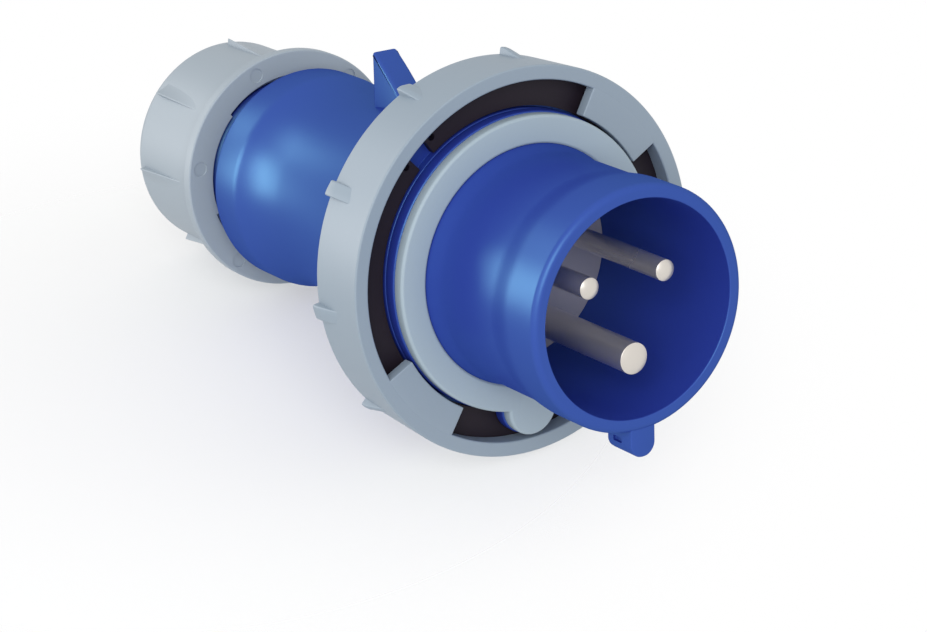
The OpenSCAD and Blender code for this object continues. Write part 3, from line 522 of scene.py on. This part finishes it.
tabMiddleR = (r["tabR"] + r["wallR"]) / 2
halfArc = math.radians(r["tabSpan"] / 2) * tabMiddleR


def tabPlace(middle):
    return lambda u, v, w: polar(middle + math.degrees(v / tabMiddleR), u) + (w,)


tabs = [roundBlock((r["tabR"], -halfArc, r["reach"] - r["tabThick"]),
                   (r["wallR"] + r["tabSink"], halfArc, r["reach"] - 0.01), 0.3,
                   tabPlace(middle), cuts=(3, 28, 2), arcSteps=3) for middle in r["tabAngles"]]
addPiece("lockingRing", newMesh("lockingRing", join(ringBody, *tabs)), [ringGrey], "locking_ring",
         ["bayonet_ring"])


mouldPull = 78  # degrees round the axis, the same side for ring and nut


# A moulded rib is steep toward the mould's pull and runs out softly on its far side. This gives how much, and
# which side, by the rib's angle from the pull.
def draft(angle):
    off = math.radians(angle - mouldPull)
    return abs(math.sin(off)) / max(0.45, abs(math.cos(off))), math.sin(2 * off) or 1


def ringRib(angle):
    slope, away = draft(angle)
    away = 1 if away > 0 else -1

    def place(u, v, w):
        top = ribs["tipR"] - ribs["fall"] * max(0.0, w - ribs["flat"]) / (ribs["length"] - ribs["flat"])
        radius = ribs["rootR"] + (u - ribs["rootR"]) * (top - ribs["rootR"]) / (ribs["tipR"] - ribs["rootR"])
        across = 0.5 + away * v / ribs["width"]
        sideShare = max(0.0, across - ribs["sinkSide"]) / (1 - ribs["sinkSide"])
        heightShare = max(0.0, min(1.0, (u - ribs["sinkFromR"]) / ribs["sinkOver"]))
        radius -= min(1.0, slope) * ribs["sink"] * sideShare * heightShare
        x, y = radius, v
        turnX, turnY = polar(angle, 1)
        return x * turnX - y * turnY, x * turnY + y * turnX, -ring["depth"] + w

    return roundBlock((ribs["rootR"], -ribs["width"] / 2, 0),
                      (ribs["tipR"], ribs["width"] / 2, ribs["length"]),
                      ribs["edge"], place, cuts=(4, 6, 9))


ribShapes = [ringRib(ribs["start"] + 360 * i / ribs["count"]) for i in range(ribs["count"])]
addPiece("ringRibs", newMesh("ringRibs", join(*ribShapes)), [ringGrey], "locking_ring")
print("ring done")

# Rear housing: flange, flared body, waist, soft rise to the rim, and the threaded neck
housing = {"boreR": 31.8, "bossR": 36.3, "bossFront": 3.5, "flangeR": 43.2, "flangeFront": 5.7,
           "flangeBack": 9.3, "shoulderR": 37.4, "flareStart": 12.3, "flarePower": 1.5, "waistR": 25.45,
           "waistDepth": 72.0, "riseHeight": 1.9585, "riseLength": 14.5, "risePower": 2.4056, "rimR": 27.8,
           "rimShoulder": 8.0, "rimRound": 1.4, "rimBack": 98.3, "neckR": 23.3, "neckCoreR": 22.3,
           "neckDepth": 127.0, "neckBoreR": 18.6, "stopR": 13, "stopBack": 112, "stopFront": 108,
           "cavityR": 21.85, "cavityBack": 72, "cavityFront": 45, "frontBoreR": 25.6,
           "frontBoreBack": 23.9, "seatDepth": 20.9}
fin = {"width": 7.0, "topR": 40.8, "backDepth": 58.3, "rampR": 80.0, "rampAngle": 33.0, "endAngle": 50.6,
       "centreDepth": 101.871, "centreR": -26.294, "edge": 0.9, "corner": 1.1, "footR": 22.5}
thread = {"pitch": 3.0, "front": 101.6, "back": 125.6, "crest": 0.5, "root": 1.25, "sunk": 0.3, "perTurn": 72,
          "runOutSteps": 30}
h = housing


def flareRadius(depth):
    along = (depth - h["flareStart"]) / (h["waistDepth"] - h["flareStart"])
    return h["waistR"] + (h["shoulderR"] - h["waistR"]) * max(0.0, 1 - along) ** h["flarePower"]


housingPath = [(h["boreR"], -h["bossFront"], 0.2), (h["bossR"], -h["bossFront"], 0.2),
               (h["bossR"], -h["flangeFront"], 0.1),
               (h["flangeR"], -h["flangeFront"], 0.3), (h["flangeR"], -h["flangeBack"], 0.3),
               (h["shoulderR"], -h["flangeBack"], 0.4)]
for i in range(49):
    depth = h["flareStart"] + (h["waistDepth"] - h["flareStart"]) * i / 48
    housingPath.append((flareRadius(depth), -depth))
for i in range(1, 17):
    t = i / 16
    housingPath.append((h["waistR"] + h["riseHeight"] * t ** h["risePower"],
                        -h["waistDepth"] - h["riseLength"] * t))
shoulderDepth = h["waistDepth"] + h["riseLength"] + h["rimShoulder"] * math.sin(math.radians(18))
housingPath += arcPoints((h["rimR"] - h["rimShoulder"], -shoulderDepth), h["rimShoulder"], 15, 0, 6)
housingPath += arcPoints((h["rimR"] - h["rimRound"], h["rimRound"] - h["rimBack"]), h["rimRound"], 0, -90, 7)
housingPath += [
    (h["neckCoreR"], -h["rimBack"], 0.2), (h["neckCoreR"], 0.6 - h["neckDepth"], 0.3),
    (h["neckCoreR"] - 0.6, -h["neckDepth"], 0.2), (h["neckBoreR"], -h["neckDepth"], 0.3),
    (h["neckBoreR"], -h["stopBack"], 0.2), (h["stopR"], -h["stopBack"], 0.2),
    (h["stopR"], -h["stopFront"], 0.2),
    (h["cavityR"], -h["cavityBack"], 1), (h["cavityR"], -h["cavityFront"], 1),
    (h["frontBoreR"], -h["frontBoreBack"], 0.3), (h["frontBoreR"], -h["seatDepth"], 0.1),
    (h["boreR"], -h["seatDepth"], 0.1)]
housingBody = revolve(roundPath(housingPath), 240)


# Right-hand thread of the neck: one ridge that runs out at both ends
def threadShape():
    t = thread
    turns = (t["back"] - t["front"]) / t["pitch"]
    steps = round(turns * t["perTurn"])
    verts, faces = [], []
    for i in range(steps + 1):
        angle = -360 * turns * i / steps
        fade = min(1.0, i / t["runOutSteps"], (steps - i) / t["runOutSteps"])
        middle = -t["front"] - (t["back"] - t["front"]) * i / steps
        rootR = h["neckCoreR"] - t["sunk"]
        crestR = rootR + (h["neckR"] - h["neckCoreR"] + t["sunk"]) * fade
        for radius, off in ((rootR, -t["root"]), (crestR - 0.08, -t["crest"]), (crestR, -t["crest"] + 0.15),
                            (crestR, t["crest"] - 0.15), (crestR - 0.08, t["crest"]), (rootR, t["root"])):
            verts.append(polar(angle, radius) + (middle + off,))
    for i in range(steps):
        for k in range(6):
            n = (k + 1) % 6
            faces.append((i * 6 + k, i * 6 + n, i * 6 + 6 + n, i * 6 + 6 + k))
    return verts, faces + [tuple(range(6)), tuple(range(steps * 6, steps * 6 + 6))]


# Plate along the axis from an (r, z) outline, with rounded long edges
def finShape():
    outline = [(fin["footR"], -fin["backDepth"], 0), (fin["topR"], -fin["backDepth"], fin["corner"])]
    for i in range(1, 21):
        angle = fin["rampAngle"] + 1.6 + (fin["endAngle"] - fin["rampAngle"] - 1.6) * (i - 1) / 19
        across, up = polar(90 - angle, fin["rampR"])
        outline.append((fin["centreR"] + up, across - fin["centreDepth"]))
    outline = roundPath(outline + [(fin["footR"], -38, 0)], True, 10)
    area = sum(outline[i - 1][0] * outline[i][1] - outline[i][0] * outline[i - 1][1]
               for i in range(len(outline)))
    outward = 1 if area > 0 else -1
    half = [(fin["edge"] * (1 - math.sin(math.pi / 2 * k / 6)),
             fin["width"] / 2 - fin["edge"] + fin["edge"] * math.cos(math.pi / 2 * k / 6)) for k in range(7)]
    levels = [(inset, -across) for inset, across in half] + half[::-1]
    rings = []
    for inset, across in levels:
        points = []
        for i in range(len(outline)):
            along = (Vector(outline[(i + 1) % len(outline)]) - Vector(outline[i - 1])).normalized()
            points.append(Vector(outline[i]) - Vector((along.y, -along.x)) * inset * outward)
        rings.append((points, across))
    verts, faces = loft(rings)
    return [(x, z, y) for x, y, z in verts], faces


addPiece("rearHousing", newMesh("rearHousing", join(housingBody, threadShape(), finShape())), [blue],
         "plug_body", ["rear_housing"])
print("housing done")

# Gland nut: flange with its moulding marks, body, mouth lips and wedge ribs
nut = {"mouthR": 25.0, "boreR": 23.6, "bodyR": 27.3, "flangeR": 31.3, "front": 104.6, "flangeThick": 3.0,
       "fillet": 2.0, "depth": 140.0, "round": 2.2, "entryR": 11.6, "throatR": 12.7, "throatBack": 137.1,
       "throatFront": 136.1, "washerR": 15.5, "washerSeat": 130.5, "threadFront": 107.2, "mouthBack": 106.4,
       "lipR": 24.2, "lipDepth": 1.8, "lipStart": 46.0, "lipSpan": 63.0, "lipCount": 3,
       "markR": 1.9, "markCircle": 28.15, "markDepth": 0.3, "markStart": 20.5, "markCount": 6}
wedge = {"count": 7, "start": -4.5, "width": 5.0, "rootR": 24.8, "tipR": 29.0, "back": 136.0, "length": 20.0,
         "sunk": 0.15, "runOutPower": 1.8, "edge": 0.35}
n = nut
nutPath = roundPath([
    (n["mouthR"], -n["front"], 0.2), (n["flangeR"], -n["front"], 0.45),
    (n["flangeR"], -n["front"] - n["flangeThick"], 0.35),
    (n["bodyR"], -n["front"] - n["flangeThick"], n["fillet"]), (n["bodyR"], -n["depth"], n["round"]),
    (n["entryR"], -n["depth"], 0.5), (n["entryR"], -n["throatBack"], 0.2),
    (n["throatR"], -n["throatFront"], 0.2),
    (n["washerR"], -n["washerSeat"], 0.2), (n["boreR"], -n["washerSeat"], 0.2),
    (n["boreR"], -n["threadFront"], 0.2), (n["mouthR"], -n["mouthBack"], 0.2)])
nutBody = newMesh("nutBody", revolve(nutPath, 216))
markFloor = -n["front"] - n["markDepth"]
markShape = revolve([(0.001, -n["front"] + 1), (n["markR"], -n["front"] + 1), (n["markR"], markFloor + 0.06),
                     (n["markR"] - 0.06, markFloor), (0.001, markFloor)], 40)
markShape = ([(x + n["markCircle"], y, z) for x, y, z in markShape[0]], markShape[1])
nutBody = cutMesh(nutBody, patternMesh("nutMarks", markShape, n["markCount"], n["markStart"], nutGrey))
addPiece("glandNut", nutBody, [nutGrey], "nut", ["gland_nut"])


# One wedge rib: steep on the side toward the pull, running out softly across its width and along its length
def nutRib(angle):
    away = 1 if draft(angle)[1] > 0 else -1

    def place(u, v, w):
        across = 0.5 + away * v / wedge["width"]
        along = w / wedge["length"]
        height = wedge["tipR"] - nut["bodyR"] + wedge["sunk"]
        top = nut["bodyR"] - wedge["sunk"] + height * (1 - across) ** wedge["runOutPower"] * (1 - along)
        share = (u - wedge["rootR"]) / (wedge["tipR"] - wedge["rootR"])
        x, y = wedge["rootR"] + share * (top - wedge["rootR"]), v
        turnX, turnY = polar(angle, 1)
        return x * turnX - y * turnY, x * turnY + y * turnX, -wedge["back"] + w

    return roundBlock((wedge["rootR"], -wedge["width"] / 2, 0),
                      (wedge["tipR"], wedge["width"] / 2, wedge["length"]),
                      wedge["edge"], place, cuts=(3, 9, 14))


wedgeShapes = [nutRib(wedge["start"] + 360 * i / wedge["count"]) for i in range(wedge["count"])]
addPiece("nutRibs", newMesh("nutRibs", join(*wedgeShapes)), [nutGrey], "nut")
lipShape = revolve(roundPath([(n["lipR"], -n["front"], 0.25), (n["mouthR"] + 0.3, -n["front"] - 0.01, 0),
                              (n["mouthR"] + 0.3, -n["front"] - n["lipDepth"], 0),
                              (n["lipR"], -n["front"] - n["lipDepth"], 0.2)]),
                   30, n["lipStart"], n["lipSpan"])
addPiece("nutLips", patternMesh("nutLips", lipShape, n["lipCount"], 0, nutGrey), [nutGrey], "nut")
print("nut done")

# Contact pins: domed end, body, collar, and the barrel with its bore for the wire. The domed end and the body
# are one nickel in two tones, a painted reflection.
# Each pin has its node, angle, radius, barrel radius and reach.
pins = {"circleR": 12.2, "domeHeight": 0.8, "paintedEndDepth": 0.25, "edge": 0.12, "shankStep": 0.25,
        "shankDepth": 2.6, "splitDepth": 14.0, "collarLength": 2.4, "barrelDepth": 38.0, "wireR": 3.0,
        "wireDepth": 13.0, "drillPoint": 1.5, "earthPin": ("earth_pin", 180, 3.75, 5.2, 44.0),
        "livePin": ("live_pin", 60, 2.55, 4.8, 42.0), "neutralPin": ("neutral_pin", -60, 2.55, 4.8, 42.0)}


def pinMesh(name, angle, radius, barrelR, reach):
    p = pins
    domeR = (radius ** 2 + p["domeHeight"] ** 2) / (2 * p["domeHeight"])
    dome = arcPoints((0, reach - domeR), domeR, math.degrees(math.acos(radius / domeR)), 89.9, 10)
    shankR, barrelEnd = radius + p["shankStep"], -p["barrelDepth"]
    collarBack, collarFront = -p["splitDepth"], p["collarLength"] - p["splitDepth"]
    boreEnd = p["wireDepth"] - p["barrelDepth"]
    path = roundPath([
        (0.01, boreEnd + p["drillPoint"]), (p["wireR"], boreEnd, 0.1), (p["wireR"], barrelEnd, 0.3),
        (barrelR, barrelEnd, 0.6), (barrelR, collarBack, 0.1), (barrelR + 1, collarBack, 0.2),
        (barrelR + 1, collarFront, 0.2), (shankR, collarFront, 0.1), (shankR, -p["shankDepth"], 0.05),
        (radius, -p["shankDepth"], 0.05), (radius, dome[0][1], p["edge"])] + dome[1:], False)
    verts, faces = revolve(path, 72, closed=False)
    x, y = polar(angle, p["circleR"])
    mesh = newMesh(name, ([(vx + x, vy + y, vz) for vx, vy, vz in verts], faces))
    # Faces of the domed end take the second tone of the same metal, a painted reflection
    for face in mesh.polygons:
        if min(mesh.vertices[v].co.z for v in face.vertices) > dome[0][1] - p["paintedEndDepth"]:
            face.material_index = 1
    return mesh


for name in ("earthPin", "livePin", "neutralPin"):
    node, angle, radius, barrelR, reach = pins[name]
    mesh = pinMesh(name, angle, radius, barrelR, reach)
    ends = [face.material_index for face in mesh.polygons]
    addPiece(name, mesh, [pinBodyPaintedTone, pinEndPaintedTone], "plug_body", [node])
    mesh.polygons.foreach_set("material_index", ends)

# Nodes that keep their shape get their finish here
finishes = {"carrier_front": carrierGrey, "carrier_back": carrierGrey, "carrier_seal": blackRubber,
            "carrier_screws": screwSteel, "terminal_screws": screwSteel, "wire_clamp_plates": screwSteel,
            "ring_retainer": retainerBlack, "housing_seal": blackRubber, "gland_washer": washerWhite,
            "gland_cage": blackPlastic, "gland_bush": blackRubber}
for node, material in finishes.items():
    mesh = frame["nodes"][node].data
    mesh.materials.clear()
    mesh.materials.append(material)
print("pieces done")

# Pale floor that fades into the white backdrop
floorMaterial = bpy.data.materials.new("paleFloor")
floorMaterial.use_nodes = True
tree = floorMaterial.node_tree
shader = tree.nodes["Principled BSDF"]
shader.inputs["Roughness"].default_value = 0.9
shader.inputs["Specular IOR Level"].default_value = 0.2
shader.inputs["Base Color"].default_value = (0.95, 0.95, 0.95, 1)
clear = addNode(tree, "ShaderNodeBsdfTransparent")
blend = addNode(tree, "ShaderNodeMixShader")
coords = addNode(tree, "ShaderNodeTexCoord")
distance = addNode(tree, "ShaderNodeVectorMath", operation="LENGTH")
centre = addNode(tree, "ShaderNodeMapping", "middle of the shadow")
centre.inputs["Location"].default_value = (0.03, 0.05, 0)
tree.links.new(coords.outputs["Object"], centre.inputs["Vector"])
tree.links.new(centre.outputs[0], distance.inputs[0])
fade = addNode(tree, "ShaderNodeMapRange", "fades into the backdrop", interpolation_type="SMOOTHSTEP")
fade.inputs["From Min"].default_value = 0.03
fade.inputs["From Max"].default_value = 0.17
fade.inputs["To Min"].default_value = 0.35
tree.links.new(distance.outputs["Value"], fade.inputs["Value"])
tree.links.new(fade.outputs[0], blend.inputs["Fac"])
tree.links.new(shader.outputs[0], blend.inputs[1])
tree.links.new(clear.outputs[0], blend.inputs[2])
tree.links.new(blend.outputs[0], tree.nodes["Material Output"].inputs["Surface"])
floorMesh = bpy.data.meshes.new("floor")
floorMesh.from_pydata([(-3, -3, 0), (3, -3, 0), (3, 3, 0), (-3, 3, 0)], [], [(0, 1, 2, 3)])
floorMesh.materials.append(floorMaterial)
floor = bpy.data.objects.new("floor", floorMesh)
bpy.context.scene.collection.objects.link(floor)

# Studio: soft light from all round, seen as white by the camera and in gloss
world = bpy.data.worlds.new("studio")
bpy.context.scene.world = world
world.use_nodes = True
tree = world.node_tree
light = tree.nodes["Background"]
light.inputs["Color"].default_value = (1, 1, 1, 1)
light.inputs["Strength"].default_value = 0.7
seen = addNode(tree, "ShaderNodeBackground")
seen.inputs["Color"].default_value = (1, 1, 1, 1)
seen.inputs["Strength"].default_value = 1.0
ray = addNode(tree, "ShaderNodeLightPath")
either = addNode(tree, "ShaderNodeMath", operation="MAXIMUM")
anyOf = addNode(tree, "ShaderNodeMath", operation="MAXIMUM")
pick = addNode(tree, "ShaderNodeMixShader")
tree.links.new(ray.outputs["Is Camera Ray"], either.inputs[0])
tree.links.new(ray.outputs["Is Glossy Ray"], either.inputs[1])
tree.links.new(either.outputs[0], anyOf.inputs[0])
tree.links.new(ray.outputs["Is Transmission Ray"], anyOf.inputs[1])
tree.links.new(anyOf.outputs[0], pick.inputs["Fac"])
tree.links.new(light.outputs[0], pick.inputs[1])
tree.links.new(seen.outputs[0], pick.inputs[2])
tree.links.new(pick.outputs[0], tree.nodes["World Output"].inputs["Surface"])


# Soft box aimed at a point: direction from there in degrees, distance, width and height in metres
def addLamp(name, target, azimuth, elevation, distance, size, power, glossOnly=False):
    data = bpy.data.lights.new(name, "AREA")
    data.shape = "RECTANGLE"
    data.size, data.size_y = size
    data.energy = power
    lamp = bpy.data.objects.new(name, data)
    lamp.visible_diffuse = not glossOnly  # a strip lamp that only makes a shine
    across, up = polar(elevation, distance)
    away = Vector(polar(azimuth, across) + (up,))
    lamp.location = Vector(target) + away
    lamp.rotation_euler = (-away).to_track_quat("-Z", "Y").to_euler()
    bpy.context.scene.collection.objects.link(lamp)


addLamp("housingSoftbox", (-0.03, 0, 0.05), -163, 18, 1.0, (0.3, 0.35), 1.6, glossOnly=True)
addLamp("sleeveSoftbox", (0.07, 0, 0.06), -142, 4, 0.6, (0.14, 0.25), 1.3, glossOnly=True)
addLamp("frontSoftbox", (0.02, 0, 0.05), -38, 34, 1.0, (0.6, 0.6), 5.2)
addLamp("leftSoftbox", (-0.03, 0, 0.05), -80, 25, 1.0, (0.6, 0.5), 1.1)

cameraData = bpy.data.cameras.new("camera")
cameraData.sensor_width = 36
cameraData.lens = 124.27
camera = bpy.data.objects.new("camera", cameraData)
camera.location = (0.58647, -0.37236, 0.41925)
camera.rotation_euler = (math.radians(59.602), math.radians(2.904), math.radians(55.024))
cameraData.clip_start = 0.01
bpy.context.scene.collection.objects.link(camera)
bpy.context.scene.camera = camera
bpy.context.scene.view_settings.view_transform = "Standard"
